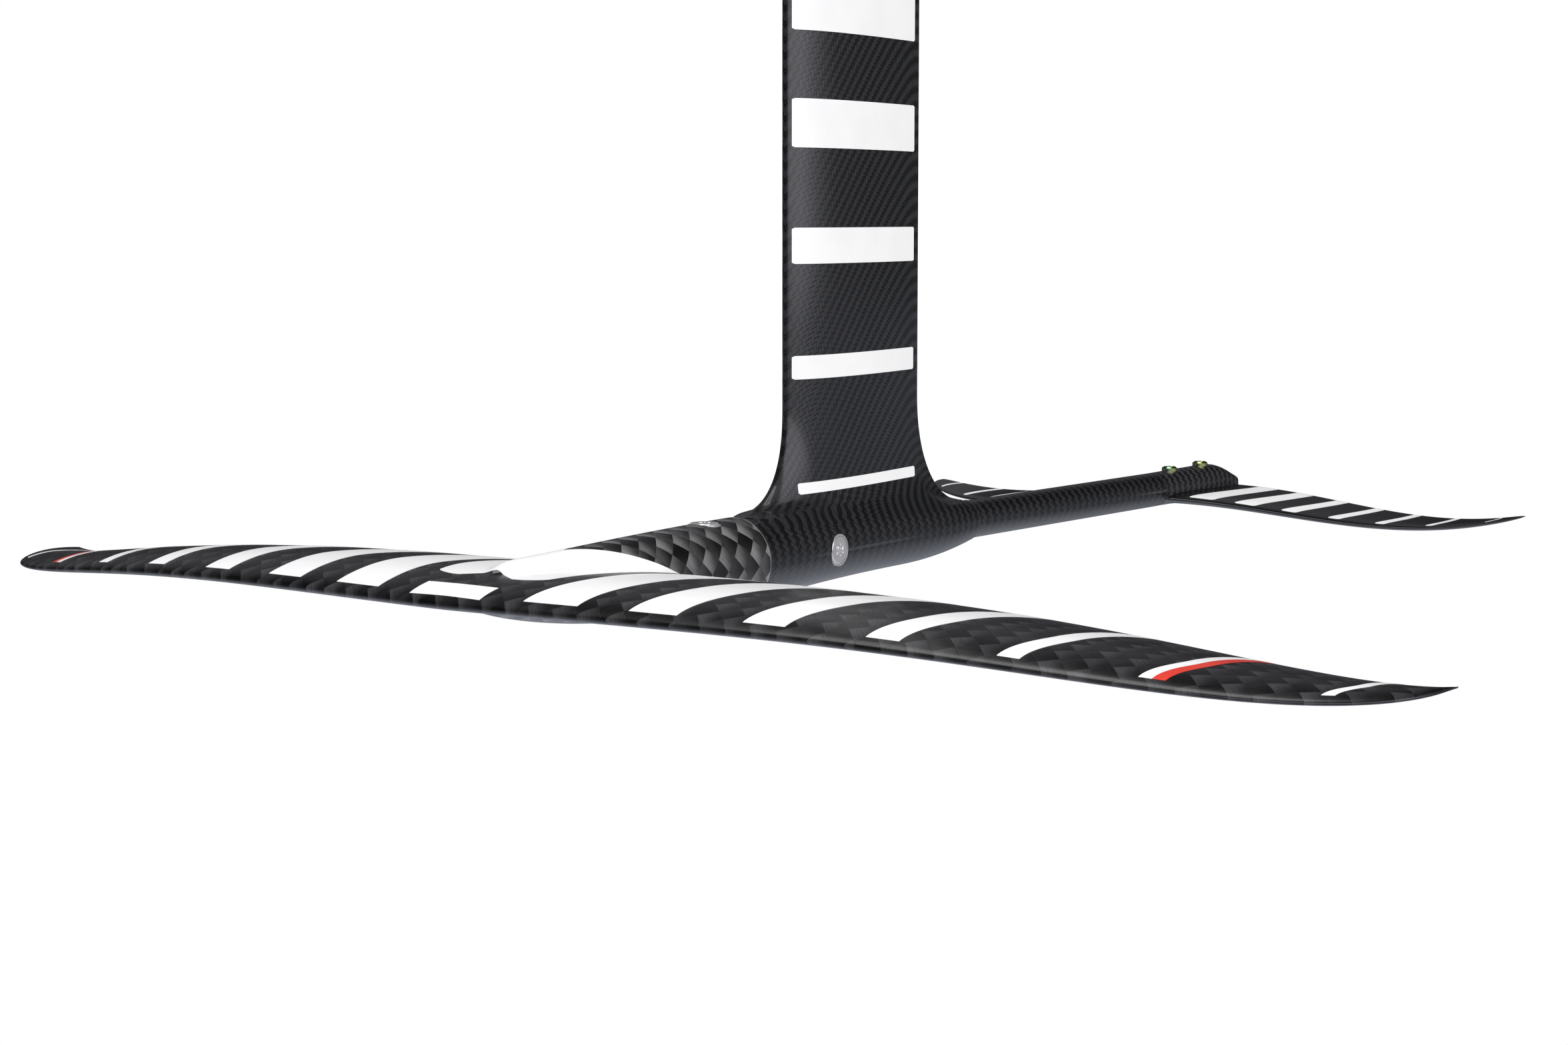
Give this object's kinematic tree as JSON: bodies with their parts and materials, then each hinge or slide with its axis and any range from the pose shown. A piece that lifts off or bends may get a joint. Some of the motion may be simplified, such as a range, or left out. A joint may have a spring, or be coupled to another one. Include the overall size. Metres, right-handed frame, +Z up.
{
  "type": "hydrofoil",
  "caption": "Carbon hydrofoil: a mast with a slotted board plate, a fuselage, a swept front wing on a bolted neck and a small stabiliser.",
  "frame": {"origin": "centre of the board plate's top face, where it meets the board", "axes": "+Z up, out of the face that meets the board; +Y aft along the fuselage; +X to port along the span"},
  "size_m": [0.7486, 0.7406, 0.8716],
  "materials": {
    "carbon_twill": "satin twill carbon laminate",
    "carbon_spread_tow": "gloss spread tow carbon laminate with white bands",
    "carbon_plate": "satin carbon laminate",
    "core": "raw light core",
    "spar": "raw carbon laminate",
    "titanium": "machined titanium",
    "steel": "machined stainless steel",
    "anodised_bolt": "heat tinted titanium, green and gold",
    "brass_insert": "machined brass"
  },
  "bodies": {
    "root": {"base_plate": "carbon_plate", "mast_collar": "carbon_twill", "mast_skin_port": "carbon_twill", "mast_skin_starboard": "carbon_twill", "mast_core": "core", "mast_spar": "spar", "mast_foot": "carbon_twill", "side_bolt_ferrule": "steel", "side_bolt": "steel", "fuselage_head": "titanium", "fuselage_tube": "carbon_twill", "tail_block": "carbon_twill", "tail_bolts": "anodised_bolt", "wing_neck": "carbon_spread_tow", "neck_sleeve": "titanium", "neck_bolt_ferrule": "steel", "neck_bolt": "steel", "wing_upper_skin": "carbon_spread_tow", "wing_lower_skin": "carbon_spread_tow", "wing_core": "core", "wing_spar": "spar", "stabiliser_upper_skin": "carbon_spread_tow", "stabiliser_lower_skin": "carbon_spread_tow", "stabiliser_core": "core", "stabiliser_inserts": "brass_insert"}
  },
  "joints": []
}
